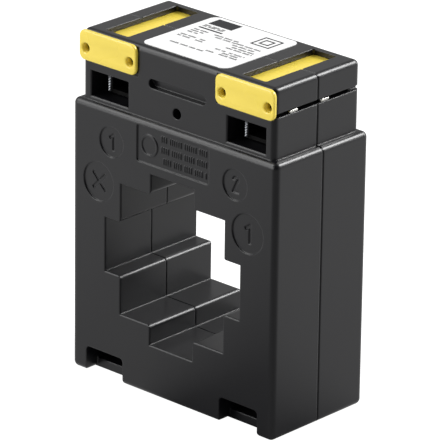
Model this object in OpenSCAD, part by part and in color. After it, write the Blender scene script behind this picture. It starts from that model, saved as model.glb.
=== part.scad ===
// Window-type current transformer in a moulded case.
// Two half shells close around a tape-wound ring core; the primary conductor
// passes through the stepped window, and the secondary comes out at two
// double clamp terminals under sliding covers.
// Units are millimetres. X runs across the front, Y to the rear, Z up.
// The origin is the centre of the underside.
// The conductors set the window, the window sets the ring, and the ring and
// the clamps set the case around them.

/* [Primary window] */
// Clear width and height for a round conductor
round_d = 31.2; // [24:0.5:40]
// How far the flat-bar slots reach past the round window at each end
slot_step = 4.7; // [2:0.1:6]
// Short side of each flat-bar slot
bar_slot_h = 12.9; // [8:0.1:18]
// Rounding of the steps that stand out into the window
window_out_r = 0.9; // [0.3:0.1:1.2]
// Rounding of the window's inner corners
window_in_r = 0.5; // [0.3:0.1:1.2]
// Rounding of the window's edges at the front and rear faces
window_edge_r = 0.3; // [0.2:0.1:1.2]
// Thickness of the wall around the window
window_wall = 1.4; // [1:0.1:2.4]

/* [Core and winding] */
// Radial thickness of the steel core
core_t = 2.35; // [1:0.05:5]
// Thickness of the insulating core caps
cap_t = 0.4; // [0.2:0.05:0.8]
// Diameter of the enamelled secondary wire
wire_d = 0.8; // [0.4:0.05:1.4]
// Thickness of the tape wrapped around the winding
wrap_t = 0.15; // [0.1:0.05:0.3]
// Diameter of the sleeved lead-out wires
lead_d = 1.4; // [1:0.1:1.8]

/* [Case] */
// Thickness of the side, bottom and shoulder walls
wall = 1.6; // [1.2:0.1:2.4]
// Thickness of the front and rear walls
face_wall = 2; // [1.6:0.1:2.8]
// Free height under the wound ring
bottom_gap = 1.9; // [1:0.1:4]
// Free height over the wound ring, for the lead wires
lead_space = 1.9; // [1.5:0.1:5]
// Rounding of the outer edges of the lower body
edge_r = 1.35; // [0.6:0.05:1.8]
// Depth of the joint line where the two shells meet
seam_depth = 0.25; // [0.1:0.05:0.5]
// Width of the joint line
seam_w = 0.5; // [0.2:0.1:0.8]
// Depth of the finer joint line inside the window
window_seam_depth = 0.1; // [0.05:0.05:0.4]
// Width of the joint line inside the window
window_seam_w = 0.3; // [0.2:0.1:0.8]

/* [Clamps] */
// Gap between the two cages of a terminal, where the chamber's rib stands
cage_spacing = 1.4; // [1:0.1:4]
// Width of a clamp cage
cage_w = 8.2; // [7.4:0.1:10]
// Length of a clamp cage along the rail
cage_l = 8.6; // [7:0.1:12]
// Sheet thickness of a clamp cage
cage_t = 0.9; // [0.7:0.05:1.1]
// Lift of a cage from open to closed
cage_lift = 2.7; // [1.5:0.1:4]
// Thickness of a terminal rail
rail_t = 1.5; // [1:0.1:2.4]
// Width of the rail where the chamber's rib holds it
rail_neck_w = 4; // [3.4:0.1:5]
// Width of the rail's solder leg
leg_w = 3; // [2:0.1:3.2]
// Thickness of the rail's solder leg
leg_t = 0.6; // [0.4:0.1:0.8]
// How far the solder leg reaches below the chamber floor
leg_drop = 8; // [5:0.5:9]
// Nominal diameter of a clamp screw
screw_d = 4; // [2.5:0.5:4.5]
// Diameter of a clamp screw's head
screw_head_d = 6; // [5:0.1:7]
// Height of a clamp screw's head
screw_head_h = 2.1; // [1.4:0.1:2.6]
// Width of the driver slot
driver_slot_w = 1; // [0.6:0.1:1.2]

/* [Terminal block] */
// Width of the shoulder beside the terminal block
side_ledge = 1.9; // [1.5:0.05:4]
// Width of the shoulder in front of and behind the block
front_ledge = 1.3; // [0.8:0.1:3]
// Thickness of the block's outer side walls
block_side_wall = 2.6; // [2:0.05:4]
// Thickness of the block's front and rear walls
block_wall = 2.7; // [2.4:0.1:4]
// Rounding of the block's outer edges
block_r = 1.3; // [0.5:0.1:2]
// Gap between a cage and the side walls of its chamber
cage_side_gap = 1.5; // [0.6:0.1:3]
// Gap between a cage and the end walls of its chamber
cage_end_gap = 1.7; // [0.8:0.1:4]
// Height of a wire entry
entry_h = 5.9; // [4.4:0.1:6.6]
// Rise from the shoulder to the chamber floor
entry_rise = 1; // [0.8:0.1:3]
// Free height from the screw heads' undersides to the ceiling
head_space = 0.9; // [0.5:0.1:1.6]
// Thickness of the ceiling that guides the screwdriver
ceiling_t = 2.15; // [1.2:0.05:3]
// Height of the vent groove along each side
groove_h = 1; // [0.6:0.1:1.6]
// Distance from the ceiling down to the vent groove
groove_drop = 0.8; // [0.4:0.1:1.4]
// Depth of the vent groove where it runs out at the rear corner
groove_depth = 1.2; // [0.6:0.1:1.6]

/* [Front of the terminal block] */
// Length of the recessed slot
front_slot_l = 17; // [8:0.2:20]
// Height of the recessed slot
front_slot_h = 2.2; // [1:0.1:2.6]
// Depth of the recessed slot
front_slot_depth = 1.5; // [0.5:0.1:1.8]
// Distance from the top face down to the slot's centre
front_slot_drop = 7.9; // [7:0.1:9]
// Diameter of the hole through the block
pin_hole_d = 2.5; // [1.5:0.1:3]
// Height of that hole above the shoulder
pin_hole_rise = 3.4; // [2.8:0.1:4]

/* [Covers] */
// Width of a cover's front plate
cover_w = 17.2; // [15:0.1:18.8]
// Height of a cover's front plate
cover_h = 7; // [6.6:0.1:7.4]
// Thickness of a cover's front plate
cover_t = 1; // [0.9:0.1:1.6]
// Distance from the top face down to the plate's top edge
cover_drop = 0.2; // [0:0.1:0.6]
// How far the plate stands out from the block's front face
cover_proud = 0.8; // [0.3:0.1:0.9]
// Rounding of the plate's corners
cover_r = 1.6; // [0.5:0.1:2.5]
// Thickness of the sliding strip
strip_t = 1.5; // [1:0.1:2.4]
// Depth of the strip's upper face below the top face
strip_drop = 1.35; // [1:0.05:2]
// How far the strip reaches under each side of the screw window
strip_lip = 1.25; // [0.8:0.05:1.8]
// Diameter of the sealing holes
seal_hole_d = 2.2; // [1:0.1:2.6]
// Distance from the plate's sides to the sealing holes
seal_inset = 1.95; // [1.75:0.05:3]
// Distance from the plate's top edge down to the sealing holes
seal_drop = 4.1; // [3:0.1:4.6]
// Depth of the holes behind them in the block
seal_depth = 1.6; // [0.5:0.1:2]
// Distance from the block's front and rear faces to the screw windows
top_window_inset = 2.2; // [1.8:0.1:4]

/* [Foot pockets] */
// Distance from the sides of the case to the middle of a foot pocket
foot_inset = 10.1; // [8:0.1:12]
// Width of a foot pocket
foot_w = 11.4; // [9:0.1:12.4]
// Height of a foot pocket
foot_h = 6.2; // [4.6:0.1:6.4]
// Depth of the open front part of a foot pocket
foot_depth = 3.8; // [3:0.1:5]
// Depth of the closed part behind it
foot_inner_depth = 4.4; // [2:0.1:5]
// Height of the sill that a clipped foot hooks behind
foot_sill_h = 2.1; // [1:0.1:2.4]
// Thickness of the walls around a foot pocket
foot_wall = 1.2; // [0.8:0.1:1.4]

/* [Marks and label] */
// Depth of the recessed mark fields
mark_depth = 0.3; // [0.1:0.05:0.6]
// Diameter of the terminal mark fields
small_mark_d = 7.2; // [5:0.1:8]
// Distance from the sides of the case to the terminal mark fields
small_mark_inset = 12; // [8:0.1:13]
// Distance from the shoulder down to the terminal mark fields
small_mark_drop = 7.7; // [5:0.1:8.4]
// Diameter of the conductor mark fields
big_mark_d = 9.2; // [6:0.1:10]
// Distance from the sides of the case to the conductor mark fields
big_mark_inset = 8.1; // [7:0.1:9]
// Distance from the shoulder down to the conductor mark fields
big_mark_drop = 18; // [17:0.1:18.6]
// Width of the data field
data_w = 21.6; // [14:0.2:24]
// Height of the data field
data_h = 8.6; // [6:0.2:9]
// Distance from the shoulder down to the data field's centre
data_drop = 5.6; // [5:0.1:6]
// Distance from the screw windows to the rating label
label_side_gap = 4.35; // [2:0.05:8]
// Distance from the block's front and rear faces to the rating label
label_end_gap = 1.6; // [1.4:0.1:5]
// Thickness of the rating label
label_t = 0.12; // [0.08:0.01:0.3]

/* [Hidden] */

$fn = 64;
LEFT = -1;
RIGHT = 1;
FRONT = -1;
REAR = 1;
SIDES = [-1, 1];

eps = 0.01;             // overlap of joined shapes
past = 1;               // how far a cut runs past a face
fit = 0.05;             // clearance between nested parts of the core
slide_gap = 0.15;       // clearance around a part that slides or turns
thread_gap = 0.1;       // clearance at the clamp thread
ring_play = 0.15;       // clearance around the wound ring

case_black = "#2d2d2f";
cover_yellow = "#efd85c";
nickel = "#c9c8c2";
steel_strip = "#84868a";
cap_white = "#dcd8cc";
copper = "#a85a32";
tape_amber = "#c79a3a";
sleeve_grey = "#8d8f86";
label_white = "#f2f2f0";

// ring stack across the radius, from the window wall outwards
bar_slot_l = round_d + 2 * slot_step;
layer_t = wrap_t + wire_d + cap_t + 3 * fit;
corner_reach = (round_d / 2 - window_in_r) * sqrt(2) + window_in_r;
slot_reach = norm([bar_slot_l / 2 - window_in_r, bar_slot_h / 2 - window_in_r]) + window_in_r;
ring_ri = max(corner_reach, slot_reach) + window_wall + ring_play;
ring_ro = ring_ri + core_t + 2 * layer_t;
core_ri = ring_ri + layer_t;
core_ro = ring_ro - layer_t;

// lower body
body_w = 2 * (ring_ro + ring_play + wall);
window_z = wall + bottom_gap + ring_play + ring_ro;
shoulder_h = window_z + ring_ro + ring_play + lead_space + wall;

// terminal block in plan
entry_w = cage_w + 2 * cage_side_gap;
screw_pitch = cage_l + cage_spacing;
chamber_d = screw_pitch + cage_l + 2 * cage_end_gap;
block_w = body_w - 2 * side_ledge;
block_d = chamber_d + 2 * block_wall;
body_d = block_d + 2 * front_ledge;
terminal_x = block_w / 2 - block_side_wall - entry_w / 2;
screw_y = screw_pitch / 2;

// clamp stack, from the chamber floor upwards
floor_z = shoulder_h + entry_rise;
cage_gap = 0.2;                      // open cage above the floor
cage_stop = 0.1;                     // closed cage below the rail
cage_bottom = floor_z + cage_gap;
rail_bottom = cage_bottom + cage_t + cage_lift + cage_stop;
rail_top = rail_bottom + rail_t;
cage_top_t = cage_t + 0.2;           // the threaded top is thicker
cage_top_z = rail_top + slide_gap;
cage_h = cage_top_z + cage_top_t - cage_bottom;
screw_tip_z = rail_top + fit;
head_bottom = cage_top_z + cage_top_t + cage_lift + slide_gap;
head_top = head_bottom + screw_head_h;
chamber_top = head_bottom + head_space;

// rail
rail_play = 0.2;                     // rail inside the cage, each side
rail_w = cage_w - 2 * cage_t - 2 * rail_play;
rail_l = screw_pitch + cage_l;
rib_gap = 0.2;                       // cage to rib
rib_t = cage_spacing - 2 * rib_gap;
neck_l = rib_t + rib_gap;
leg_bottom = floor_z - leg_drop;

// strip channel and top face
strip_bottom = chamber_top + ceiling_t;
strip_top = strip_bottom + strip_t;
body_h = strip_top + strip_drop;
driver_hole_d = screw_head_d + 0.4;
top_window_w = driver_hole_d + 0.5;
top_window_l = block_d - 2 * top_window_inset;
strip_w = top_window_w + 2 * strip_lip;
strip_end_y = top_window_l / 2 + 0.5;

// cover plate
cover_front_y = -block_d / 2 - cover_proud;
cover_back_y = cover_front_y + cover_t;
cover_top = body_h - cover_drop;
cover_bottom = cover_top - cover_h;
seal_x = cover_w / 2 - seal_inset;
seal_z = cover_top - seal_drop;

// ring stack along the axis, from the front wall inwards
ring_half = body_d / 2 - face_wall - 0.2;
winding_ri = ring_ri + wrap_t + fit;
winding_ro = ring_ro - wrap_t - fit;
winding_half = ring_half - wrap_t - fit;
cap_ri = winding_ri + wire_d + fit;
cap_ro = winding_ro - wire_d - fit;
cap_half = winding_half - wire_d - fit;
core_half = cap_half - cap_t - fit;
winding_gap = 30;                    // bare sector at the top, in degrees
lead_gap = 0.5;                      // lead wire below the chamber floor

// small features of the case
block_root = 4 * edge_r + block_r;   // block runs down into the lower body
mid_wall = 1.5;                      // walls between the terminals
entry_r = 0.8;
entry_edge_r = 0.4;
foot_r = 1;
foot_x = body_w / 2 - foot_inset;
foot_back_y = -body_d / 2 + foot_depth + foot_inner_depth;
pin_hole_z = shoulder_h + pin_hole_rise;
small_mark_x = body_w / 2 - small_mark_inset;
small_mark_z = shoulder_h - small_mark_drop;
big_mark_x = body_w / 2 - big_mark_inset;
big_mark_z = shoulder_h - big_mark_drop;
data_z = shoulder_h - data_drop;
engraving = 0.25;
driver_slot_depth = screw_head_h / 2;
label_w = 2 * (terminal_x - top_window_w / 2 - label_side_gap);
label_l = block_d - 2 * label_end_gap;
label_r = 2;

// locating bosses in the corners of the shells
boss_d = 5;
boss_inset = 3.3;
boss_x = body_w / 2 - wall - boss_inset;
boss_rise = 2.3;                     // above a foot pocket's walls
boss_drop = 4.8;                     // below the shoulder wall
boss_low_z = foot_h + foot_wall + boss_rise;
boss_high_z = shoulder_h - wall - boss_drop;
dowel_d = 2.4;
dowel_l = 3;

// ---- shape helpers -------------------------------------------------------

// Rounded rectangle centred on the origin
module rounded_rect(w, h, r) {
    difference() {
        square([w, h], center = true);
        for (sx = SIDES, sy = SIDES)
            translate([sx * w / 2, sy * h / 2])
                difference() {
                    square(2 * r, center = true);
                    translate([-sx * r, -sy * r]) circle(r);
                }
    }
}

// Stands a drawing made in X and Z up and extrudes it from y0 to y1
module along_y(y0, y1) {
    translate([0, y1, 0]) rotate([90, 0, 0]) linear_extrude(y1 - y0) children();
}

// Extrudes a drawing made in Y and Z from x0 to x1
module along_x(x0, x1) {
    translate([x0, 0, 0]) rotate([90, 0, 90]) linear_extrude(x1 - x0) children();
}

// Cylinder that lies along Y
module y_cylinder(d, x, z, y0, y1) {
    translate([x, y1, z]) rotate([90, 0, 0]) cylinder(d = d, h = y1 - y0);
}

// Box from its two opposite corners
module box(a, b) {
    translate(a) cube(b - a);
}

module box_2d(x0, y0, x1, y1) {
    translate([x0, y0]) square([x1 - x0, y1 - y0]);
}

// Children as drawn for side 1, mirrored for side -1
module flip_x(side) {
    mirror([side < 0 ? 1 : 0, 0, 0]) children();
}

// Children as drawn in front (side -1 of Y stays), mirrored to the rear for side 1
module flip_y(side) {
    mirror([0, side > 0 ? 1 : 0, 0]) children();
}

// Block with all edges rounded and ball corners, standing from z0 to z1
module rounded_block(w, d, z0, z1, r) {
    h = z1 - z0;
    difference() {
        intersection() {
            translate([0, 0, z0]) linear_extrude(h) rounded_rect(w, d, r);
            along_y(-d / 2, d / 2) translate([0, (z0 + z1) / 2]) rounded_rect(w, h, r);
            along_x(-w / 2, w / 2) translate([0, (z0 + z1) / 2]) rounded_rect(d, h, r);
        }
        for (sx = SIDES, sy = SIDES, sz = SIDES)
            translate([sx * (w / 2 - r), sy * (d / 2 - r), (z0 + z1) / 2 + sz * (h / 2 - r)])
                difference() {
                    translate([sx * r, sy * r, sz * r]) cube(2 * r, center = true);
                    sphere(r);
                }
    }
}

// Flat ring about the window's axis
module core_ring(ri, ro, y0, y1) {
    translate([0, 0, window_z]) rotate([-90, 0, 0])
        translate([0, 0, y0]) rotate_extrude($fn = 128)
            translate([ri, 0]) square([ro - ri, y1 - y0]);
}

// What a rounding of radius r takes off the four corners of a solid that begin
// at x and z on each side of a slot
module corner_cuts(x, z, r) {
    for (sx = SIDES, sz = SIDES)
        translate([sx * x, sz * z])
            difference() {
                translate([sx * (r - eps) / 2, sz * (r - eps) / 2])
                    square(r + eps, center = true);
                translate([sx * r, sz * r]) circle(r);
            }
}

// Straight rectangular hole through a wall or body of depth d, with its edges
// rounded at both faces
module flared_hole(w, h, d, r) {
    intersection() {
        translate([0, 0, -h]) linear_extrude(2 * h) {
            square([w, d + 2 * past], center = true);
            corner_cuts(w / 2, -d / 2, r);
        }
        along_x(-w, w) {
            square([d + 2 * past, h], center = true);
            corner_cuts(-d / 2, h / 2, r);
        }
    }
}

// ---- primary window ------------------------------------------------------

// Outline of the window, grown by g: two crossed slots and a square
module window_outline(g = 0) {
    r = window_in_r + g;
    translate([0, window_z]) {
        rounded_rect(bar_slot_l + 2 * g, bar_slot_h + 2 * g, r);
        rounded_rect(bar_slot_h + 2 * g, bar_slot_l + 2 * g, r);
        rounded_rect(round_d + 2 * g, round_d + 2 * g, r);
        if (g < window_out_r) {
            corner_cuts(round_d / 2 + g, bar_slot_h / 2 + g, window_out_r - g);
            corner_cuts(bar_slot_h / 2 + g, round_d / 2 + g, window_out_r - g);
        }
    }
}

// The window with its edges rounded at the front and rear faces
module window_cut() {
    along_y(-body_d / 2 - past, body_d / 2 + past) window_outline();
    for (size = [[bar_slot_l, bar_slot_h], [bar_slot_h, bar_slot_l], [round_d, round_d]])
        translate([0, 0, window_z]) flared_hole(size[0], size[1], body_d, window_edge_r);
}

// ---- shells --------------------------------------------------------------

// Outer form of the closed case
module case_form() {
    rounded_block(body_w, body_d, 0, shoulder_h, edge_r);
    rounded_block(block_w, block_d, shoulder_h - block_root, body_h, block_r);
}

// Front view of the case, shrunk by g
module case_outline(g) {
    box_2d(-body_w / 2 + g, g, body_w / 2 - g, shoulder_h - g);
    box_2d(-block_w / 2 + g, shoulder_h / 2, block_w / 2 - g, body_h - g);
}

// Joint line around the outside of the case and around the window
module seam_cut() {
    along_y(-seam_w / 2, seam_w / 2) difference() {
        box_2d(-body_w / 2 - past, -past, body_w / 2 + past, body_h + past);
        case_outline(seam_depth);
    }
    along_y(-window_seam_w / 2, window_seam_w / 2) window_outline(window_seam_depth);
}

// Hollow of the lower body and, above it, of the block between the terminals
module cavity() {
    x = body_w / 2 - wall;
    y = body_d / 2 - face_wall;
    box([-x, -y, wall], [x, y, shoulder_h - wall]);
    mid = terminal_x - entry_w / 2 - mid_wall;
    box([-mid, -chamber_d / 2, shoulder_h - wall - eps], [mid, chamber_d / 2, body_h - mid_wall]);
}

// Walls and bosses that stand in the hollow
module inner_walls() {
    along_y(-body_d / 2 + past, body_d / 2 - past) window_outline(window_wall);
    y_cylinder(2 * pin_hole_d, 0, pin_hole_z, -block_d / 2 + past, block_d / 2 - past);
    for (sx = SIDES) {
        for (z = [boss_low_z, boss_high_z])
            y_cylinder(boss_d, sx * boss_x, z, -body_d / 2 + past, body_d / 2 - past);
        for (sy = SIDES) flip_y(sy) translate([sx * foot_x, 0, 0])
            box([-foot_w / 2 - foot_wall, -body_d / 2 + past, eps],
                [foot_w / 2 + foot_wall, foot_back_y + foot_wall, foot_h + foot_wall]);
    }
}

// Room for the wound ring, which also scallops the walls beside it
module ring_room() {
    core_ring(ring_ri - 0.1, ring_ro + 0.1, -ring_half - 0.1, ring_half + 0.1);
}

// Pocket for a clip-on foot in the lower front edge
module foot_pocket() {
    inner_y = -body_d / 2 + foot_depth;
    along_y(-body_d / 2 - past, inner_y) {
        rounded_rect(foot_w, 2 * foot_h, foot_r);
        corner_cuts(foot_w / 2, 0, foot_r);
    }
    along_y(inner_y - eps, foot_back_y) translate([0, (foot_sill_h + foot_h) / 2])
        rounded_rect(foot_w, foot_h - foot_sill_h, foot_r / 2);
}

// Chamber of one terminal with everything that opens into it
module terminal_cuts() {
    w = entry_w / 2;
    box([-w, -chamber_d / 2, floor_z], [w, chamber_d / 2, chamber_top]);
    along_y(-block_d / 2 - past, block_d / 2 + past) translate([0, floor_z + entry_h / 2])
        rounded_rect(entry_w, entry_h, entry_r);
    translate([0, 0, floor_z + entry_h / 2]) flared_hole(entry_w, entry_h, block_d, entry_edge_r);
    box([-leg_w / 2 - 0.1, -leg_t / 2 - 0.1, shoulder_h - wall - past],
        [leg_w / 2 + 0.1, leg_t / 2 + 0.1, floor_z + past]);
    for (sy = SIDES)
        translate([0, sy * screw_y, chamber_top - eps])
            cylinder(d = driver_hole_d, h = strip_bottom - chamber_top + 2 * eps);
    box([-strip_w / 2 - slide_gap, cover_back_y - eps, strip_bottom - slide_gap / 2],
        [strip_w / 2 + slide_gap, strip_end_y + slide_gap, strip_top + slide_gap / 2]);
    translate([0, 0, strip_top - eps]) linear_extrude(strip_drop + past)
        rounded_rect(top_window_w, top_window_l, 0.5);
}

// Shallow seat for a cover's plate, with the holes for the sealing wire
module cover_seat() {
    box([-cover_w / 2 - slide_gap, -block_d / 2 - past, cover_bottom - slide_gap],
        [block_w, cover_back_y + slide_gap / 2, body_h + past]);
    for (sx = SIDES)
        y_cylinder(seal_hole_d, sx * seal_x, seal_z, cover_back_y, cover_back_y + seal_depth);
}

// Vent groove along the outer side of a terminal
module vent_groove() {
    top = chamber_top - groove_drop;
    box([terminal_x + entry_w / 2 - eps, cover_back_y, top - groove_h],
        [block_w, chamber_d / 2, top]);
    box([block_w / 2 - groove_depth, cover_back_y, top - groove_h],
        [block_w, block_d, top]);
}

// Rib that crosses a chamber and holds the neck of the terminal rail
module rail_rib() {
    difference() {
        box([-entry_w / 2 - eps, -rib_t / 2, floor_z - eps], [entry_w / 2 + eps, rib_t / 2, rail_top + rib_t]);
        box([-rail_neck_w / 2 - fit, -rib_t, rail_bottom - fit], [rail_neck_w / 2 + fit, rib_t, rail_top + fit]);
        box([-leg_w / 2 - 0.1, -rib_t, floor_z - past], [leg_w / 2 + 0.1, rib_t, rail_bottom]);
    }
}

// Straight stroke between two points of a mark
module stroke(a, b, w) {
    d = b - a;
    translate(a) rotate(atan2(d[1], d[0])) translate([-w / 2, -w / 2]) square([norm(d) + w, w]);
}

// Plain numerals and a cross, centred, h tall
module numeral_one(h) {
    w = h / 6;
    stroke([0.1 * h, -h / 2 + w / 2], [0.1 * h, h / 2 - w / 2], w);
    stroke([0.1 * h, h / 2 - w / 2], [-0.15 * h, 0.25 * h], w);
}

module numeral_two(h) {
    w = h / 6;
    r = h / 4;
    translate([0, h / 2 - r]) difference() {
        circle(r);
        circle(r - w);
        translate([-2 * h, -2 * h]) square([2 * h, 2 * h]);
        translate([-h, -2 * h]) square([2 * h, 2 * h - 0.1 * h]);
    }
    stroke([r - w, h / 2 - r - 0.1 * h], [-r + w / 2, -h / 2 + w / 2], w);
    stroke([-r + w / 2, -h / 2 + w / 2], [r - w / 2, -h / 2 + w / 2], w);
}

module cross_mark(h) {
    for (s = SIDES) stroke([-0.3 * h, -0.3 * s * h], [0.3 * h, 0.3 * s * h], h / 7);
}

// Recessed fields on the front, with their marks cut deeper
module front_marks() {
    y = -body_d / 2;
    for (sx = SIDES) {
        y_cylinder(small_mark_d, sx * small_mark_x, small_mark_z, y - past, y + mark_depth);
        y_cylinder(big_mark_d, sx * big_mark_x, big_mark_z, y - past, y + mark_depth);
    }
    along_y(y - past, y + mark_depth) translate([0, data_z]) rounded_rect(data_w, data_h, 0.6);
    along_y(y, y + mark_depth + engraving) {
        translate([-small_mark_x, small_mark_z]) numeral_one(0.55 * small_mark_d);
        translate([small_mark_x, small_mark_z]) numeral_two(0.55 * small_mark_d);
        translate([-big_mark_x, big_mark_z]) cross_mark(0.6 * big_mark_d);
        translate([big_mark_x, big_mark_z]) numeral_one(0.5 * big_mark_d);
    }
}

// Rows of fine raised ticks in the data field, in groups like words, beside a
// plain ring
module data_ticks() {
    y0 = -body_d / 2 + 0.1;
    y1 = -body_d / 2 + mark_depth + eps;
    ring_d = 0.6 * data_h;
    rows = 3;
    ticks = 22;
    left = -data_w / 2 + ring_d + 2;
    pitch_x = (data_w / 2 - 0.6 - left) / ticks;
    pitch_z = (data_h - 1) / rows;
    along_y(y0, y1) translate([-data_w / 2 + ring_d / 2 + 1, data_z]) difference() {
        circle(d = ring_d);
        circle(d = ring_d - 1);
    }
    for (row = [0 : rows - 1], i = [0 : ticks - 1])
        if ((i + 2 * row) % (5 + row) > 0)
            box([left + pitch_x * i, y0, data_z - data_h / 2 + 0.5 + pitch_z * (row + 0.22)],
                [left + pitch_x * (i + 0.55), y1, data_z - data_h / 2 + 0.5 + pitch_z * (row + 0.78)]);
}

// Both shells in one, before they are parted at the middle
module closed_case() {
    difference() {
        union() {
            difference() {
                case_form();
                cavity();
            }
            inner_walls();
        }
        window_cut();
        ring_room();
        for (side = SIDES) flip_x(side) {
            translate([terminal_x, 0, 0]) {
                terminal_cuts();
                cover_seat();
            }
            vent_groove();
            for (sy = SIDES) flip_y(sy) translate([foot_x, 0, 0]) foot_pocket();
        }
        y_cylinder(pin_hole_d, 0, pin_hole_z, -block_d / 2 - past, block_d / 2 + past);
        along_y(-block_d / 2 - past, -block_d / 2 + front_slot_depth)
            translate([0, body_h - front_slot_drop])
                rounded_rect(front_slot_l, front_slot_h, front_slot_h / 2 - eps);
        front_marks();
        seam_cut();
    }
    for (side = SIDES) translate([side * terminal_x, 0, 0]) rail_rib();
    data_ticks();
}

// The half of the closed case that lies in front of or behind the middle
module case_half(side) {
    intersection() {
        closed_case();
        flip_y(-side) box([-body_w, 0, -past], [body_w, body_d, body_h + past]);
    }
}

module dowels(d, l) {
    for (sx = SIDES, z = [boss_low_z, boss_high_z])
        y_cylinder(d, sx * boss_x, z, -l, eps);
}

module front_housing() {
    color(case_black) difference() {
        case_half(FRONT);
        dowels(dowel_d + 2 * slide_gap, dowel_l + 2 * slide_gap);
    }
}

module rear_housing() {
    color(case_black) {
        case_half(REAR);
        dowels(dowel_d, dowel_l);
    }
}

// ---- core and winding ----------------------------------------------------

// Ring of steel strip wound upon itself
module ring_core() {
    color(steel_strip) core_ring(core_ri, core_ro, -core_half, core_half);
}

// Insulating cap that covers one half of the core
module core_cap(side) {
    color(cap_white) flip_y(-side) difference() {
        core_ring(cap_ri, cap_ro, fit, cap_half);
        core_ring(cap_ri + cap_t, cap_ro - cap_t, -past, cap_half - cap_t);
    }
}

// Hollow ring of thickness t, open over a small sector at the top
module wound_layer(ri, ro, half, t) {
    translate([0, 0, window_z]) rotate([90, 0, 0]) rotate([0, 0, 90 + winding_gap / 2])
        rotate_extrude(angle = 360 - winding_gap, $fn = 128) difference() {
            translate([ri, -half]) square([ro - ri, 2 * half]);
            translate([ri + t, -half + t]) square([ro - ri - 2 * t, 2 * (half - t)]);
        }
}

module secondary_winding() {
    color(copper) wound_layer(winding_ri, winding_ro, winding_half, wire_d);
}

module winding_wrap() {
    color(tape_amber) wound_layer(ring_ri, ring_ro, ring_half, wrap_t);
}

// Sleeved wire from the winding up to the solder leg of a terminal rail
module lead_wire(side) {
    color(sleeve_grey) difference() {
        translate([side * terminal_x, leg_t / 2 + lead_d / 2, window_z])
            cylinder(d = lead_d, h = shoulder_h - wall - lead_gap - window_z);
        translate([0, 0, window_z]) rotate([90, 0, 0])
            cylinder(r = ring_ro + fit, h = body_d, center = true, $fn = 128);
    }
}

// ---- terminals -----------------------------------------------------------

// Flat rail with a narrow neck in the rib and a leg down to the winding
module terminal_rail(side) {
    color(nickel) translate([side * terminal_x, 0, 0]) {
        difference() {
            box([-rail_w / 2, -rail_l / 2, rail_bottom], [rail_w / 2, rail_l / 2, rail_top]);
            for (sx = SIDES) flip_x(sx)
                box([rail_neck_w / 2, -neck_l / 2, rail_bottom - past],
                    [rail_w, neck_l / 2, rail_top + past]);
        }
        box([-leg_w / 2, -leg_t / 2, leg_bottom], [leg_w / 2, leg_t / 2, rail_bottom + eps]);
    }
}

// Folded cage that a screw lifts to clamp a wire under the rail
module clamp_cage(side, end) {
    color(nickel) translate([side * terminal_x, end * screw_y, 0]) difference() {
        along_y(-cage_l / 2, cage_l / 2) translate([0, cage_bottom + cage_h / 2])
            rounded_rect(cage_w, cage_h, cage_t);
        box([-cage_w / 2 + cage_t, -cage_l, cage_bottom + cage_t],
            [cage_w / 2 - cage_t, cage_l, cage_top_z]);
        translate([0, 0, cage_top_z - past])
            cylinder(d = screw_d + 2 * thread_gap, h = cage_top_t + 2 * past);
    }
}

// Screw whose tip bears on the rail while its thread lifts the cage
module clamp_screw(side, end) {
    color(nickel) translate([side * terminal_x, end * screw_y, 0]) difference() {
        union() {
            translate([0, 0, screw_tip_z]) cylinder(d = screw_d, h = head_bottom - screw_tip_z + eps);
            translate([0, 0, head_bottom]) cylinder(d = screw_head_d, h = screw_head_h);
        }
        box([-screw_head_d, -driver_slot_w / 2, head_top - driver_slot_depth],
            [screw_head_d, driver_slot_w / 2, head_top + past]);
    }
}

// ---- covers and label ----------------------------------------------------

// Cover that slides in from the front over the two screws of a terminal
module cover(side) {
    color(cover_yellow) translate([side * terminal_x, 0, 0]) {
        difference() {
            along_y(cover_front_y, cover_back_y) translate([0, (cover_bottom + cover_top) / 2])
                rounded_rect(cover_w, cover_h, cover_r);
            for (sx = SIDES)
                y_cylinder(seal_hole_d, sx * seal_x, seal_z, cover_front_y - past, cover_back_y + past);
        }
        box([-strip_w / 2, cover_back_y - eps, strip_bottom], [strip_w / 2, strip_end_y, strip_top]);
    }
}

module rating_label() {
    color(label_white) translate([0, 0, body_h]) linear_extrude(label_t)
        rounded_rect(label_w, label_l, label_r);
}

front_housing();
rear_housing();
ring_core();
core_cap(FRONT);  // core_cap_front
core_cap(REAR);  // core_cap_rear
secondary_winding();
winding_wrap();
lead_wire(LEFT);  // lead_wire_left
lead_wire(RIGHT);  // lead_wire_right
terminal_rail(LEFT);  // terminal_rail_left
terminal_rail(RIGHT);  // terminal_rail_right
clamp_cage(LEFT, FRONT);  // clamp_cage_left_front
clamp_cage(LEFT, REAR);  // clamp_cage_left_rear
clamp_cage(RIGHT, FRONT);  // clamp_cage_right_front
clamp_cage(RIGHT, REAR);  // clamp_cage_right_rear
clamp_screw(LEFT, FRONT);  // clamp_screw_left_front
clamp_screw(LEFT, REAR);  // clamp_screw_left_rear
clamp_screw(RIGHT, FRONT);  // clamp_screw_right_front
clamp_screw(RIGHT, REAR);  // clamp_screw_right_rear
cover(LEFT);  // cover_left
cover(RIGHT);  // cover_right
rating_label();
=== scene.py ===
# %% [markdown]
# # A window-type current transformer
# A busbar or a cable passes through the stepped window of a black moulded case. Inside the case a
# ring of steel strip carries a fine copper winding, and the winding comes out at two double clamp
# terminals in the block on top. Two yellow covers slide over the clamp screws and can be sealed.
#
# The solid model is loaded first and is never moved: it is the frame that every finer piece is
# placed on. All lengths are metres, X runs to the right across the front, Y to the rear, Z up.

import math

import bmesh
import bpy
from mathutils import Matrix, Vector


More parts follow.
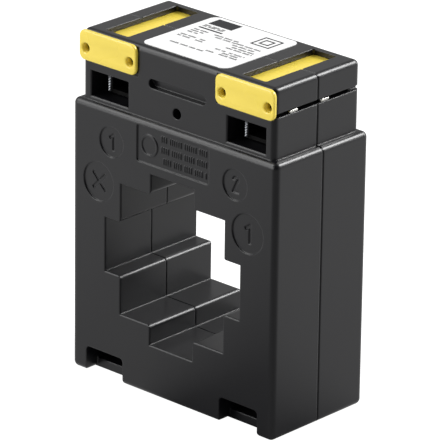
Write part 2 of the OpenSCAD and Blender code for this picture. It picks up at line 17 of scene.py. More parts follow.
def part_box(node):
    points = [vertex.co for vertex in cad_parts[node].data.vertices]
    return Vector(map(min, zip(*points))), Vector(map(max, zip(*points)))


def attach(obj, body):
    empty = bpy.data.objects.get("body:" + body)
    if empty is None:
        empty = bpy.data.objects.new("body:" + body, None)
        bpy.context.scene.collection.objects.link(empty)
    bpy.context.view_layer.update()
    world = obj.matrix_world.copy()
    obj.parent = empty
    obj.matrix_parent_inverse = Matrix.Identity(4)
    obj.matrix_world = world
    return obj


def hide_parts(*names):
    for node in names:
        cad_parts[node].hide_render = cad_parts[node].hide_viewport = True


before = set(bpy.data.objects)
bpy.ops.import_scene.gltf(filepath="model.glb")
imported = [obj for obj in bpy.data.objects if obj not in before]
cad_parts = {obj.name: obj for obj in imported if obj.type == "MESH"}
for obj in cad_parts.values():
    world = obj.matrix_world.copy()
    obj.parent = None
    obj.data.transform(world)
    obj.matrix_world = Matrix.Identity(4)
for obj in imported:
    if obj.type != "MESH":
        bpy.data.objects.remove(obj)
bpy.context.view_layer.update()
MM = 0.001
SIDES = {"left": -1, "right": 1}
ENDS = {"front": -1, "rear": 1}

# %% [markdown]
# ## Measures
# The places of the finer pieces come from the boxes of the solid pieces that they dress, so they
# follow the solid model if its sizes change.

# %% Measure the solid pieces
case_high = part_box("rear_housing")[1]
TOP = case_high.z
HALF_WIDTH = case_high.x
label_low, label_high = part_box("rating_label")
print(f"case {2 * HALF_WIDTH / MM:.1f} wide, {TOP / MM:.1f} high, label top at {label_high.z / MM:.2f}")


# %% [markdown]
# ## Small helpers for node trees
# A material is a tree of nodes. `add` makes one node and fills its unlinked sockets by name, and
# `join` links one output to one input, which keeps each material short enough to read.

# %% Node helpers
def add(tree, kind, values=None, **settings):
    node = tree.nodes.new(kind)
    for name, value in settings.items():
        setattr(node, name, value)
    for socket, value in (values or {}).items():
        node.inputs[socket].default_value = value
    return node


def join(tree, source, output, target, socket):
    tree.links.new(source.outputs[output], target.inputs[socket])


def new_material(name):
    material = bpy.data.materials.new(name)
    material.use_nodes = True
    tree = material.node_tree
    tree.nodes.clear()
    out = add(tree, "ShaderNodeOutputMaterial")
    skin = add(tree, "ShaderNodeBsdfPrincipled")
    join(tree, skin, "BSDF", out, "Surface")
    return material, tree, skin


def new_group(name, inputs, outputs):
    group = bpy.data.node_groups.new(name, "ShaderNodeTree")
    for socket, value in inputs.items():
        made = group.interface.new_socket(socket, in_out="INPUT", socket_type="NodeSocketFloat")
        made.default_value = value
    for socket, kind in outputs.items():
        group.interface.new_socket(socket, in_out="OUTPUT", socket_type=kind)
    start = group.nodes.new("NodeGroupInput")
    end = group.nodes.new("NodeGroupOutput")
    return group, start, end


def place_group(tree, group, values):
    node = tree.nodes.new("ShaderNodeGroup")
    node.node_tree = group
    for socket, value in values.items():
        node.inputs[socket].default_value = value
    return node


# %% [markdown]
# ## Moulded grain
# The mould of a plastic case is spark-eroded, so every face has a fine matt grain of about a
# tenth of a millimetre, and slow waves where the plastic shrank. Both are the same noise at two
# sizes. The group gives a height for a Bump node and a value that varies colour and gloss.

# %% Group: moulded grain
GRAIN = {"Grain per metre": 6000.0, "Wave per metre": 60.0, "Wave height": 4.0}

grain_group, g_in, g_out = new_group(
    "moulded_grain", GRAIN,
    {"Height": "NodeSocketFloat", "Variation": "NodeSocketFloat"},
)
coords = add(grain_group, "ShaderNodeTexCoord")
grain = add(grain_group, "ShaderNodeTexNoise", {"Detail": 3.0, "Roughness": 0.6})
wave = add(grain_group, "ShaderNodeTexNoise", {"Detail": 2.0, "Roughness": 0.5})
tall_wave = add(grain_group, "ShaderNodeMath", operation="MULTIPLY")
height_sum = add(grain_group, "ShaderNodeMath", operation="ADD")
for noise, scale in ((grain, "Grain per metre"), (wave, "Wave per metre")):
    join(grain_group, coords, "Object", noise, "Vector")
    join(grain_group, g_in, scale, noise, "Scale")
join(grain_group, wave, "Fac", tall_wave, 0)
join(grain_group, g_in, "Wave height", tall_wave, 1)
join(grain_group, grain, "Fac", height_sum, 0)
join(grain_group, tall_wave, "Value", height_sum, 1)
join(grain_group, height_sum, "Value", g_out, "Height")
join(grain_group, wave, "Fac", g_out, "Variation")
print("group:", grain_group.name, "with", len(grain_group.nodes), "nodes")

# %% [markdown]
# ## Worn and highlit edges
# Edges of a handled part are polished and paler than its faces; here the paler edge is also a
# painted highlight, for the light that rounded edges catch. The Bevel node gives the normal
# that a rounded edge would have, and where that differs from the true normal there is an edge.
# A little noise breaks the line up, as wear does.

# %% Group: worn edges with a painted highlight
EDGE_WEAR_AND_HIGHLIGHT = {"Radius": 0.3 * MM, "Breaks per metre": 900.0}

edge_group, e_in, e_out = new_group(
    "worn_and_highlit_edges", EDGE_WEAR_AND_HIGHLIGHT,
    {"Mask": "NodeSocketFloat"},
)
rounded = add(edge_group, "ShaderNodeBevel", samples=6)
true_face = add(edge_group, "ShaderNodeNewGeometry")
likeness = add(edge_group, "ShaderNodeVectorMath", operation="DOT_PRODUCT")
edge_ramp = add(edge_group, "ShaderNodeMapRange", {"From Min": 0.995, "From Max": 0.8})
edge_coords = add(edge_group, "ShaderNodeTexCoord")
breaks = add(edge_group, "ShaderNodeTexNoise", {"Detail": 2.0})
broken = add(edge_group, "ShaderNodeMath", operation="MULTIPLY")
join(edge_group, e_in, "Radius", rounded, "Radius")
join(edge_group, rounded, "Normal", likeness, 0)
join(edge_group, true_face, "Normal", likeness, 1)
join(edge_group, likeness, "Value", edge_ramp, "Value")
join(edge_group, edge_coords, "Object", breaks, "Vector")
join(edge_group, e_in, "Breaks per metre", breaks, "Scale")
join(edge_group, edge_ramp, "Result", broken, 0)
join(edge_group, breaks, "Fac", broken, 1)
join(edge_group, broken, "Value", e_out, "Mask")
print("group:", edge_group.name, "with", len(edge_group.nodes), "nodes")


# %% [markdown]
# ## Moulded plastic
# The black case and the yellow covers are the same kind of finish in two colours: a plain
# dielectric with the grain as bump, a slight change of tone across each face, and paler edges that
# are partly wear and partly a painted highlight. A Bevel node rounds the normal a little at every
# edge, so that small radii catch the light softly.

# %% Moulded plastic in any colour
DARKER_SHARE = 0.86


def moulded_plastic(name, tone, worn_and_highlight_tone, gloss, grain_depth, wear_and_highlight, index, softness):
    """tone and worn_and_highlight_tone are linear colours, the second being the paler edge (wear and a
    painted highlight); gloss is the range of roughness, softness a radius.
    """
    material, tree, skin = new_material(name)
    surface = place_group(tree, grain_group, GRAIN)
    edges = place_group(tree, edge_group, EDGE_WEAR_AND_HIGHLIGHT)
    shade = add(tree, "ShaderNodeMix", data_type="RGBA")
    darker = tuple(DARKER_SHARE * c for c in tone)
    shade.inputs["A"].default_value = (*darker, 1)
    shade.inputs["B"].default_value = (*tone, 1)
    # Paler edges: partly wear, partly a painted highlight along every edge.
    worn_and_highlit = add(tree, "ShaderNodeMix", data_type="RGBA")
    worn_and_highlit.inputs["B"].default_value = (*worn_and_highlight_tone, 1)
    wear_and_highlight_amount = add(tree, "ShaderNodeMath", {1: wear_and_highlight}, operation="MULTIPLY")
    roughness = add(tree, "ShaderNodeMapRange", {"To Min": gloss[0], "To Max": gloss[1]})
    bump = add(tree, "ShaderNodeBump", {"Strength": 0.5, "Distance": grain_depth})
    join(tree, surface, "Variation", shade, "Factor")
    join(tree, shade, "Result", worn_and_highlit, "A")
    join(tree, edges, "Mask", wear_and_highlight_amount, 0)
    join(tree, wear_and_highlight_amount, "Value", worn_and_highlit, "Factor")
    join(tree, worn_and_highlit, "Result", skin, "Base Color")
    join(tree, surface, "Variation", roughness, "Value")
    join(tree, roughness, "Result", skin, "Roughness")
    soft = add(tree, "ShaderNodeBevel", {"Radius": softness}, samples=6)
    join(tree, soft, "Normal", bump, "Normal")
    join(tree, surface, "Height", bump, "Height")
    join(tree, bump, "Normal", skin, "Normal")
    skin.inputs["IOR"].default_value = index
    return material


# The paler edge tones below are partly wear and partly a painted highlight.
case_plastic = moulded_plastic(
    "case_plastic", tone=(0.0052, 0.0052, 0.0066), worn_and_highlight_tone=(0.045, 0.045, 0.05),
    gloss=(0.26, 0.34), grain_depth=0.006 * MM, wear_and_highlight=0.5, index=1.5, softness=0.42 * MM,
)
cover_plastic = moulded_plastic(
    "cover_plastic", tone=(0.97, 0.75, 0.085), worn_and_highlight_tone=(0.98, 0.84, 0.24),
    gloss=(0.24, 0.32), grain_depth=0.003 * MM, wear_and_highlight=0.6, index=1.7, softness=0.3 * MM,
)
print("materials:", case_plastic.name, cover_plastic.name)


# %% [markdown]
# ## Metals
# The clamps are nickel-plated steel: pale, a little warm, and streaked by drawing and stamping.
# The streaks are noise stretched along one axis. The same recipe, with another colour, makes the
# copper of the winding, the grey of the core's steel strip, and the cages' steel, which is painted
# nearly black as painted shade for the deep shade inside the terminal chambers.

# %% Drawn and plated metals
def drawn_metal(name, tone, gloss, stretch, streak_depth):
    """stretch scales the noise per axis: small along the streaks, large across them."""
    material, tree, skin = new_material(name)
    where = add(tree, "ShaderNodeTexCoord")
    squeeze = add(tree, "ShaderNodeMapping")
    squeeze.inputs["Scale"].default_value = stretch
    streaks = add(tree, "ShaderNodeTexNoise", {"Scale": 1.0, "Detail": 4.0, "Roughness": 0.65})
    shade = add(tree, "ShaderNodeMix", data_type="RGBA")
    shade.inputs["A"].default_value = (*(0.75 * c for c in tone), 1)
    shade.inputs["B"].default_value = (*tone, 1)
    roughness = add(tree, "ShaderNodeMapRange", {"To Min": gloss[0], "To Max": gloss[1]})
    bump = add(tree, "ShaderNodeBump", {"Strength": 0.4, "Distance": streak_depth})
    join(tree, where, "Object", squeeze, "Vector")
    join(tree, squeeze, "Vector", streaks, "Vector")
    join(tree, streaks, "Fac", shade, "Factor")
    join(tree, shade, "Result", skin, "Base Color")
    join(tree, streaks, "Fac", roughness, "Value")
    join(tree, roughness, "Result", skin, "Roughness")
    join(tree, streaks, "Fac", bump, "Height")
    join(tree, bump, "Normal", skin, "Normal")
    skin.inputs["Metallic"].default_value = 1.0
    return material


plated_steel = drawn_metal("plated_steel", (0.66, 0.65, 0.61), (0.2, 0.4), (2500, 300, 2500), 6e-6)
# The cages' near-black colour is painted shade, for the dark chambers they sit in.
shade_black_steel = drawn_metal("shade_black_steel", (0.02, 0.02, 0.02), (0.5, 0.65), (2500, 300, 2500), 6e-6)
strip_steel = drawn_metal("strip_steel", (0.32, 0.33, 0.35), (0.3, 0.5), (9000, 120, 9000), 1e-5)
copper = drawn_metal("copper_wire", (0.72, 0.30, 0.16), (0.22, 0.4), (1200, 200, 1200), 6e-6)
print("materials:", plated_steel.name, shade_black_steel.name, strip_steel.name, copper.name)


# %% [markdown]
# ## Soft and paper-like finishes
# The core caps are pressed white board, the winding is wrapped in amber tape, the lead wires wear
# a woven sleeve and the label is coated paper. Each is a matt colour that a noise or a weave of
# two waves varies, so one function covers them.

# %% Fibrous finishes
def fibrous(name, tone, deep_tone, roughness, per_metre, depth, woven=False):
    material, tree, skin = new_material(name)
    where = add(tree, "ShaderNodeTexCoord")
    if woven:
        pattern = add(
            tree, "ShaderNodeTexWave", {"Scale": per_metre, "Distortion": 1.5, "Detail": 2.0},
            wave_type="BANDS", bands_direction="DIAGONAL",
        )
    else:
        pattern = add(tree, "ShaderNodeTexNoise", {"Scale": per_metre, "Detail": 5.0})
    shade = add(tree, "ShaderNodeMix", data_type="RGBA")
    shade.inputs["A"].default_value = (*deep_tone, 1)
    shade.inputs["B"].default_value = (*tone, 1)
    bump = add(tree, "ShaderNodeBump", {"Strength": 0.4, "Distance": depth})
    join(tree, where, "Object", pattern, "Vector")
    join(tree, pattern, "Fac", shade, "Factor")
    join(tree, shade, "Result", skin, "Base Color")
    join(tree, pattern, "Fac", bump, "Height")
    join(tree, bump, "Normal", skin, "Normal")
    skin.inputs["Roughness"].default_value = roughness
    return material


pressed_board = fibrous("pressed_board", (0.72, 0.69, 0.60), (0.60, 0.57, 0.48), 0.75, 3000, 2e-5)
amber_tape = fibrous("amber_tape", (0.62, 0.36, 0.08), (0.48, 0.26, 0.05), 0.35, 500, 1e-5)
woven_sleeve = fibrous(
    "woven_sleeve", (0.30, 0.31, 0.27), (0.14, 0.15, 0.13), 0.8, 2500, 3e-5, woven=True
)
label_paper = fibrous("label_paper", (0.86, 0.86, 0.86), (0.81, 0.81, 0.81), 0.5, 1500, 2e-6)
label_ink = fibrous("label_ink", (0.022, 0.023, 0.026), (0.014, 0.014, 0.017), 0.9, 2500, 2e-6)
print("materials:", pressed_board.name, amber_tape.name, woven_sleeve.name)
print("and for the label:", label_paper.name, label_ink.name)


# %% [markdown]
# ## Give each solid piece its finish
# A solid piece whose shape is right stays, and only its material slots change.

# %% Dress the solid pieces
def dress(node, material):
    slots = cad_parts[node].data.materials
    slots.clear()
    slots.append(material)


finishes = {
    case_plastic: ["front_housing", "rear_housing"],
    strip_steel: ["ring_core"],
    pressed_board: ["core_cap_front", "core_cap_rear"],
    copper: ["secondary_winding"],
    amber_tape: ["winding_wrap"],
    woven_sleeve: ["lead_wire_left", "lead_wire_right"],
    label_paper: ["rating_label"],
    cover_plastic: ["cover_left", "cover_right"],
    plated_steel: [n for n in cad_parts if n.startswith(("terminal_", "clamp_screw"))],
    shade_black_steel: [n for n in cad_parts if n.startswith("clamp_cage")],
}
for material, members in finishes.items():
    for member in members:
        dress(member, material)
print("dressed", sum(len(m) for m in finishes.values()), "of", len(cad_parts), "solid pieces")

# %% [markdown]
# ## Covers
# A cover is one yellow moulding: a thin front plate with soft edges and two holes for the sealing
# wire, and a strip that slides under the top face. A short collar lengthens each hole behind the
# plate. Rounded outlines with holes are quickest as filled flat curves: the curve is thickened and
# its rim is bevelled, and the result becomes a mesh. The plate takes its place from the box of the
# solid cover, and the sizes that a box doesn't tell are those of the solid cover too.

# %% Outlines and rounded plates
def rounded_outline(half_wide, half_high, radius, steps=8):
    """Points of a rounded rectangle about the origin."""
    points = []
    for quarter in range(4):
        turn = quarter * math.pi / 2
        sx = 1 if quarter in (0, 3) else -1
        sy = 1 if quarter in (0, 1) else -1
        for step in range(steps + 1):
            angle = turn + step / steps * math.pi / 2
            points.append((sx * (half_wide - radius) + radius * math.cos(angle),
                           sy * (half_high - radius) + radius * math.sin(angle)))
    return points


def circle_outline(x, y, radius, steps=40):
    turns = (2 * math.pi * step / steps for step in range(steps))
    return [(x + radius * math.cos(turn), y + radius * math.sin(turn)) for turn in turns]


def rounded_plate(name, outlines, thick, edge):
    """Mesh of a plate that fills the first outline, less the others, about z = 0."""
    curve = bpy.data.curves.new(name, "CURVE")
    curve.dimensions = "2D"
    curve.fill_mode = "BOTH"
    for outline in outlines:
        spline = curve.splines.new("POLY")
        spline.points.add(len(outline) - 1)
        for point, (x, y) in zip(spline.points, outline):
            point.co = (x, y, 0, 1)
        spline.use_cyclic_u = True
    curve.extrude = thick / 2 - edge
    curve.bevel_depth = edge
    curve.bevel_resolution = 3
    curve.offset = -edge
    drawn = bpy.data.objects.new(name, curve)
    mesh = bpy.data.meshes.new_from_object(drawn)
    bpy.data.objects.remove(drawn)
    return mesh


def place(name, meshes, material, body):
    """One piece from several meshes, each with the matrix that puts it in place."""
    joined = bmesh.new()
    for mesh, matrix in meshes:
        part = bmesh.new()
        part.from_mesh(mesh)
        bmesh.ops.remove_doubles(part, verts=part.verts, dist=1e-7)
        bmesh.ops.transform(part, matrix=matrix, verts=part.verts)
        settled = bpy.data.meshes.new("settled")
        part.to_mesh(settled)
        part.free()
        joined.from_mesh(settled)
        bpy.data.meshes.remove(settled)
    bmesh.ops.recalc_face_normals(joined, faces=joined.faces)
    made = bpy.data.meshes.new(name)
    joined.to_mesh(made)
    joined.free()
    made.materials.append(material)
    made.shade_smooth()
    made.set_sharp_from_angle(angle=math.radians(40))
    piece = bpy.data.objects.new(name, made)
    bpy.context.scene.collection.objects.link(piece)
    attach(piece, body)
    return piece


# Turns a plate that was drawn in x and y so that it stands and faces the front
STAND_UP = Matrix.Rotation(math.radians(90), 4, "X")
print("outline helpers ready")

# %% Covers
PLATE_THICK = 1.0 * MM
PLATE_CORNER = 1.6 * MM
PLATE_EDGE = 0.34 * MM
SEAL_SPACING = 6.65 * MM
SEAL_DROP = 4.1 * MM
SEAL_RADIUS = 1.1 * MM
STRIP_WIDE = 9.4 * MM
STRIP_THICK = 1.5 * MM
STRIP_EDGE = 0.3 * MM
STRIP_TOP = TOP - 1.35 * MM
STRIP_Z = STRIP_TOP - STRIP_THICK / 2
COLLAR_OUTER = 1.08 * MM
COLLAR_INNER = 0.98 * MM
COLLAR_LONG = 1.3 * MM
COLLAR_START = 0.6 * PLATE_THICK


def placed(mesh, x, y, z):
    """A plate's mesh and the matrix that stands it up at a place."""
    return mesh, Matrix.Translation((x, y, z)) @ STAND_UP


for side in SIDES:
    low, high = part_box(f"cover_{side}")
    middle = (low + high) / 2
    half_high = (high.z - low.z) / 2
    seal_z = high.z - SEAL_DROP - middle.z
    plate_y = low.y + PLATE_THICK / 2
    plate = rounded_plate(
        f"plate_{side}",
        [rounded_outline((high.x - low.x) / 2, half_high, PLATE_CORNER),
         circle_outline(-SEAL_SPACING, seal_z, SEAL_RADIUS),
         circle_outline(SEAL_SPACING, seal_z, SEAL_RADIUS)],
        PLATE_THICK, PLATE_EDGE,
    )
    strip_length = high.y - low.y - PLATE_THICK / 2
    strip = rounded_plate(
        f"strip_{side}",
        [rounded_outline(STRIP_WIDE / 2, STRIP_THICK / 2, STRIP_EDGE, 4)],
        strip_length, 0.1 * MM,
    )
    strip_y = high.y - strip_length / 2
    collar = rounded_plate(
        f"collar_{side}",
        [circle_outline(0, 0, COLLAR_OUTER), circle_outline(0, 0, COLLAR_INNER)],
        COLLAR_LONG, 0.02 * MM,
    )
    collar_y = low.y + COLLAR_START + COLLAR_LONG / 2
    collars = [
        placed(collar, middle.x + x, collar_y, middle.z + seal_z) for x in (-SEAL_SPACING, SEAL_SPACING)
    ]
    cover = place(
        f"sliding_cover_{side}",
        collars + [placed(plate, middle.x, plate_y, middle.z), placed(strip, middle.x, strip_y, STRIP_Z)],
        cover_plastic, f"cover_{side}",
    )
    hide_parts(f"cover_{side}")
    print(cover.name, len(cover.data.vertices), "points")

# %% [markdown]
# ## Print on the label
# The label carries generic print only: a dark field, a bar under it, a square in a square, and
# lines of fine upright ticks in groups, which read as small text from a step away and say nothing.
# All of it is one thin mesh of small rectangles that lie on the paper. Places on the label are
# shares of its width and its length, from its front left corner.

# %% Label print
INK_THICK = 0.02 * MM
TICK_HIGH = 0.6 * MM
TICK_WIDE = 0.24 * MM
TICK_PITCH = 0.38 * MM
TICK_STEP = 0.12
SIGN_LINE = 0.45 * MM
label_wide = label_high.x - label_low.x
label_long = label_high.y - label_low.y


def across(share):
    return label_low.x + share * label_wide


def along(share):
    return label_low.y + share * label_long


def ink_box(made, x0, y0, x1, y1):
    """A flat bar of ink from one corner to the other, open underneath."""
    corners = [made.verts.new((x, y, label_high.z + z)) for z in (0.0, INK_THICK)
               for x, y in ((x0, y0), (x1, y0), (x1, y1), (x0, y1))]
    made.faces.new(corners[4:])
    for side in range(4):
        after = (side + 1) % 4
        made.faces.new((corners[side], corners[after], corners[after + 4], corners[side + 4]))


def tick_line(made, x0, x1, y, seed):
    """Ticks from x0 to x1 in groups of 3 to 7, one blank after each group."""
    left_in_group = 3 + seed % 5
    x = x0
    step = seed
    while x + TICK_WIDE < x1:
        step += 1
        if left_in_group == 0:
            left_in_group = 3 + (step * 7 + seed) % 5
        else:
            shorter = TICK_STEP if (step * 5 + seed) % 4 == 0 else 0.0
            ink_box(made, x, y, x + TICK_WIDE, y + TICK_HIGH * (1 - shorter))
            left_in_group -= 1
        x += TICK_PITCH


ink = bmesh.new()
for low_edge, high_edge in ((0.80, 0.955), (0.665, 0.69)):
    ink_box(ink, across(0.085), along(low_edge), across(0.36), along(high_edge))
# Start and end across the label, place along it, and the seed of the groups
text_lines = [
    (0.09, 0.34, 0.745, 2), (0.09, 0.35, 0.715, 5),
    (0.09, 0.27, 0.60, 1), (0.33, 0.62, 0.60, 4), (0.09, 0.25, 0.555, 3), (0.38, 0.62, 0.555, 2),
    (0.09, 0.22, 0.51, 6), (0.09, 0.27, 0.42, 2), (0.32, 0.40, 0.42, 1), (0.09, 0.26, 0.375, 5),
    (0.30, 0.40, 0.375, 3), (0.16, 0.55, 0.20, 4),
    (0.62, 0.92, 0.56, 3), (0.62, 0.90, 0.51, 1), (0.66, 0.93, 0.46, 6), (0.63, 0.93, 0.415, 2),
    (0.58, 0.70, 0.33, 1), (0.74, 0.92, 0.33, 5), (0.70, 0.90, 0.285, 2), (0.55, 0.66, 0.24, 3),
    (0.70, 0.93, 0.24, 4),
]
for start, end, place_along, seed in text_lines:
    tick_line(ink, across(start), across(end), along(place_along), seed)
sign_x = across(0.80)
sign_y = along(0.78)
for reach in (2.7 * MM, 1.4 * MM):
    left, right = sign_x - reach, sign_x + reach
    near, far = sign_y - reach, sign_y + reach
    ink_box(ink, left, near, right, near + SIGN_LINE)
    ink_box(ink, left, far - SIGN_LINE, right, far)
    ink_box(ink, left, near, left + SIGN_LINE, far)
    ink_box(ink, right - SIGN_LINE, near, right, far)
ink_mesh = bpy.data.meshes.new("label_print")
ink.to_mesh(ink_mesh)
ink.free()
ink_mesh.materials.append(label_ink)
label_print = bpy.data.objects.new("label_print", ink_mesh)
bpy.context.scene.collection.objects.link(label_print)
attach(label_print, "case")
print("label print:", len(ink_mesh.polygons), "faces")

# %% [markdown]
# ## Metal that shows through the openings
# A ribbed tongue hangs behind the front of each wire entry, so that the wire can only go under
# the clamp. Its cross-section swells and shrinks down its length, which makes the ribs. Two lugs
# show as bright spots in each vent groove; they are small rounded plates.

# %% Ribbed tongues in the wire entries
TONGUE_WIDE = 0.9 * MM
TONGUE_LONG = 4.2 * MM
TONGUE_THICK = 0.36 * MM
RIB_PITCH = 0.6 * MM
TONGUE_OFFSET = 1.3 * MM
TONGUE_INSET = 1.5 * MM
TONGUE_TAPER = 0.35
TONGUE_STEPS = 42
FACE_STEPS = 8
COVER_PROUD = 0.8 * MM
RAIL_SINK = 0.6 * MM

block_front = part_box("cover_left")[0].y + COVER_PROUD
entry_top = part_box("terminal_rail_left")[1].z + RAIL_SINK


def ribbed_tongue():
    """A rounded front face and a flat back, in rows down from the origin; -y is the front."""
    made = bmesh.new()
    rows = []
    for step in range(TONGUE_STEPS + 1):
        down = step / TONGUE_STEPS
        z = -TONGUE_LONG * step / TONGUE_STEPS
        swell = 0.5 - 0.5 * math.cos(2 * math.pi * -z / RIB_PITCH)
        bulge = TONGUE_THICK * (0.25 + 0.75 * swell)
        half = TONGUE_WIDE / 2 * (1 - TONGUE_TAPER * down)
        row = []
        for face_step in range(FACE_STEPS + 1):
            t = face_step / FACE_STEPS * 2 - 1
            row.append(made.verts.new((t * half, -bulge * math.sqrt(1 - t * t * 0.9), z)))
        row.append(made.verts.new((half, TONGUE_THICK * 0.5, z)))
        row.append(made.verts.new((-half, TONGUE_THICK * 0.5, z)))
        rows.append(row)
    for upper, lower in zip(rows, rows[1:]):
        count = len(upper)
        for i in range(count):
            j = (i + 1) % count
            made.faces.new((upper[i], upper[j], lower[j], lower[i]))
    made.faces.new(rows[0])
    made.faces.new(list(reversed(rows[-1])))
    mesh = bpy.data.meshes.new("tongue")
    made.to_mesh(mesh)
    made.free()
    return mesh


tongue_mesh = ribbed_tongue()
for side, sx in SIDES.items():
    rail_low, rail_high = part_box(f"terminal_rail_{side}")
    rail_x = (rail_low.x + rail_high.x) / 2
    for end, sy in ENDS.items():
        turned = Matrix.Rotation(math.pi if sy > 0 else 0.0, 4, "Z")
        tongue_y = sy * (-block_front - TONGUE_INSET)
        where = Matrix.Translation((rail_x - TONGUE_OFFSET, tongue_y, entry_top))
        place(
            f"wire_tongue_{side}_{end}", [(tongue_mesh, where @ turned)],
            strip_steel, "case",
        )
print("tongues hang", TONGUE_LONG / MM, "mm from z =", round(entry_top / MM, 2))

# %% Lugs in the vent groove
GROOVE_LOW = 74.4 * MM
LUG_WIDE = 1.0 * MM
LUG_LONG = 2.9 * MM
LUG_THICK = 0.7 * MM
LUG_CORNER = 0.4 * MM
LUG_EDGE = 0.2 * MM
LUG_X = 27.95 * MM
LUG_Y = {"front": -7.4 * MM, "rear": 2.6 * MM}

lug_outline = rounded_outline(LUG_LONG / 2, LUG_WIDE / 2, LUG_CORNER, 6)
lug_mesh = rounded_plate("lug", [lug_outline], LUG_THICK, LUG_EDGE)
lengthways = Matrix.Rotation(math.pi / 2, 4, "Z")
for side, sx in SIDES.items():
    for end, y in LUG_Y.items():
        where = Matrix.Translation((sx * LUG_X, y, GROOVE_LOW + LUG_THICK / 2))
        place(
            f"groove_lug_{side}_{end}", [(lug_mesh, where @ lengthways)],
            plated_steel, "case",
        )
print("lugs:", 2 * len(SIDES))

# %% [markdown]
# ## Table and light
# The transformer stands on a white table in a bright room. The table and the room are white to
# the camera and in reflections, and a dark card on the camera's side keeps the edge that faces it
# dark. The lamps give plain, soft light.

# %% Where the camera stands
CAMERA_TURN = math.radians(42.546)
CAMERA_RISE = math.radians(21.62)
CAMERA_ROLL = math.radians(0.807)
CAMERA_DISTANCE = 1.02178
towards_camera = Vector((
    math.sin(CAMERA_TURN) * math.cos(CAMERA_RISE),
    -math.cos(CAMERA_TURN) * math.cos(CAMERA_RISE),
    math.sin(CAMERA_RISE),
))
camera_right = Vector((math.cos(CAMERA_TURN), math.sin(CAMERA_TURN), 0))
camera_up = towards_camera.cross(camera_right)
print("the camera looks from", tuple(round(v, 3) for v in towards_camera))


# %% A surface that is white to the camera and dark behind the black card
CAMERA_WHITE = 1.0
GLOSSY_WHITE = 0.5
GLOSSY_DARK = 0.02
CARD_CORE = math.radians(38)
CARD_RIM = math.radians(76)


def lit_background(tree, coordinate, surface_out, plain_shader, plain_output):
    """White to camera and glossy rays, apart from the sector of the card, else plain_shader."""
    flat = add(tree, "ShaderNodeVectorMath", operation="MULTIPLY")
    flat.inputs[1].default_value = (1, 1, 0)
    heading = add(tree, "ShaderNodeVectorMath", operation="NORMALIZE")
    facing = add(tree, "ShaderNodeVectorMath", operation="DOT_PRODUCT")
    facing.inputs[1].default_value = (math.sin(CAMERA_TURN), -math.cos(CAMERA_TURN), 0)
    card = add(
        tree, "ShaderNodeMapRange",
        {"From Min": math.cos(CARD_RIM), "From Max": math.cos(CARD_CORE),
         "To Min": GLOSSY_WHITE, "To Max": GLOSSY_DARK},
    )
    path = add(tree, "ShaderNodeLightPath")
    level = add(tree, "ShaderNodeMix", data_type="FLOAT")
    level.inputs["B"].default_value = CAMERA_WHITE
    emission = add(tree, "ShaderNodeEmission")
    seen = add(tree, "ShaderNodeMath", operation="MAXIMUM")
    seen_too = add(tree, "ShaderNodeMath", operation="MAXIMUM")
    blend = add(tree, "ShaderNodeMixShader")
    tree.links.new(coordinate, flat.inputs[0])
    join(tree, flat, "Vector", heading, 0)
    join(tree, heading, "Vector", facing, 0)
    join(tree, facing, "Value", card, "Value")
    join(tree, path, "Is Camera Ray", level, "Factor")
    join(tree, card, "Result", level, "A")
    join(tree, level, "Result", emission, "Strength")
    join(tree, path, "Is Camera Ray", seen, 0)
    join(tree, path, "Is Glossy Ray", seen, 1)
    join(tree, seen, "Value", seen_too, 0)
    join(tree, path, "Is Transmission Ray", seen_too, 1)
    join(tree, seen_too, "Value", blend, 0)
    join(tree, plain_shader, plain_output, blend, 1)
    join(tree, emission, "Emission", blend, 2)
    tree.links.new(blend.outputs[0], surface_out)
    return emission, blend


print("the card darkens reflections within", round(math.degrees(CARD_RIM)), "degrees of the camera")

# %% The room
ROOM_LIGHT = 0.5

world = bpy.data.worlds.new("room")
bpy.context.scene.world = world
world.use_nodes = True
room = world.node_tree
room.nodes.clear()
room_out = add(room, "ShaderNodeOutputWorld")
room_plain = add(room, "ShaderNodeBackground", {"Color": (1, 1, 1, 1), "Strength": ROOM_LIGHT})
room_where = add(room, "ShaderNodeTexCoord")
lit_background(
    room, room_where.outputs["Generated"], room_out.inputs["Surface"], room_plain, "Background"
)
print("room light:", ROOM_LIGHT)

# %% The table
TABLE_HALF = 12.0
TABLE_TONE = 0.6
SHADOW_SHARE = 0.25

table_mesh = bpy.data.meshes.new("table")
corners = [(-TABLE_HALF, -TABLE_HALF, 0), (TABLE_HALF, -TABLE_HALF, 0),
           (TABLE_HALF, TABLE_HALF, 0), (-TABLE_HALF, TABLE_HALF, 0)]
table_mesh.from_pydata(corners, [], [(0, 1, 2, 3)])
table = bpy.data.objects.new("table", table_mesh)
bpy.context.scene.collection.objects.link(table)

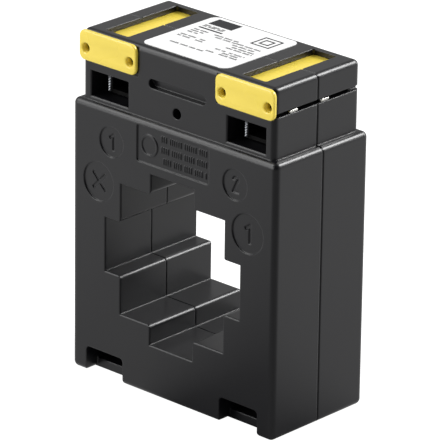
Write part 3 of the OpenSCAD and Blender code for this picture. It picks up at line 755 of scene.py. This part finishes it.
table_white = bpy.data.materials.new("table_white")
table_white.use_nodes = True
cloth = table_white.node_tree
cloth.nodes.clear()
cloth_out = add(cloth, "ShaderNodeOutputMaterial")
cloth_plain = add(cloth, "ShaderNodeBsdfDiffuse", {"Color": (TABLE_TONE, TABLE_TONE, TABLE_TONE, 1)})
cloth_where = add(cloth, "ShaderNodeTexCoord")
glow, cloth_blend = lit_background(
    cloth, cloth_where.outputs["Object"], cloth_out.inputs["Surface"], cloth_plain, "BSDF"
)
shadow_catch = add(cloth, "ShaderNodeAddShader")
shadow_part = add(
    cloth, "ShaderNodeBsdfDiffuse", {"Color": (SHADOW_SHARE, SHADOW_SHARE, SHADOW_SHARE, 1)}
)
join(cloth, glow, "Emission", shadow_catch, 0)
join(cloth, shadow_part, "BSDF", shadow_catch, 1)
cloth.links.new(shadow_catch.outputs[0], cloth_blend.inputs[2])
table_mesh.materials.append(table_white)
print("table:", 2 * TABLE_HALF, "m square")


# %% Lamps
def softbox(name, towards, distance, size, radiance):
    """A square lamp that faces the middle of the case. radiance is what a mirror would show."""
    lamp = bpy.data.lights.new(name, "AREA")
    lamp.shape = "SQUARE"
    lamp.size = size
    lamp.energy = radiance * math.pi * size * size
    box = bpy.data.objects.new(name, lamp)
    middle = Vector((0, 0, TOP / 2))
    direction = Vector(towards).normalized()
    box.location = middle + direction * distance
    box.rotation_euler = direction.to_track_quat("Z", "Y").to_euler()
    bpy.context.scene.collection.objects.link(box)
    print(f"{name}: {lamp.energy:.2f} W")
    return box


softbox("lamp_left", (-0.63, -0.42, 0.66), 1.0, 0.5, 4.0)
softbox("lamp_right_rear", (0.38, 0.67, 0.63), 1.0, 0.34, 22.0)
softbox("lamp_rear_low", (0.45, 0.85, 0.30), 1.0, 0.3, 8.0)
softbox("lamp_front_fill", (-0.45, -0.85, 0.25), 1.3, 0.8, 3.4)

# %% Camera
LENS = 377.59
AIM_HEIGHT = 0.040667
AIM_RIGHT = 0.000418
AIM_DOWN = 0.000966
aim = Vector((0, 0, AIM_HEIGHT)) + camera_right * AIM_RIGHT - camera_up * AIM_DOWN
rolled_right = camera_right * math.cos(CAMERA_ROLL) + camera_up * math.sin(CAMERA_ROLL)
rolled_up = camera_up * math.cos(CAMERA_ROLL) - camera_right * math.sin(CAMERA_ROLL)
lens = bpy.data.cameras.new("camera")
lens.lens = LENS
lens.sensor_width = 36
lens.clip_start = 0.05
lens.clip_end = 50
camera = bpy.data.objects.new("camera", lens)
facing = Matrix((rolled_right, rolled_up, towards_camera)).transposed()
camera.matrix_world = Matrix.Translation(aim + towards_camera * CAMERA_DISTANCE) @ facing.to_4x4()
bpy.context.scene.collection.objects.link(camera)
bpy.context.scene.camera = camera
bpy.context.scene.view_settings.view_transform = "Standard"
print("camera at", tuple(round(v, 4) for v in camera.matrix_world.translation))
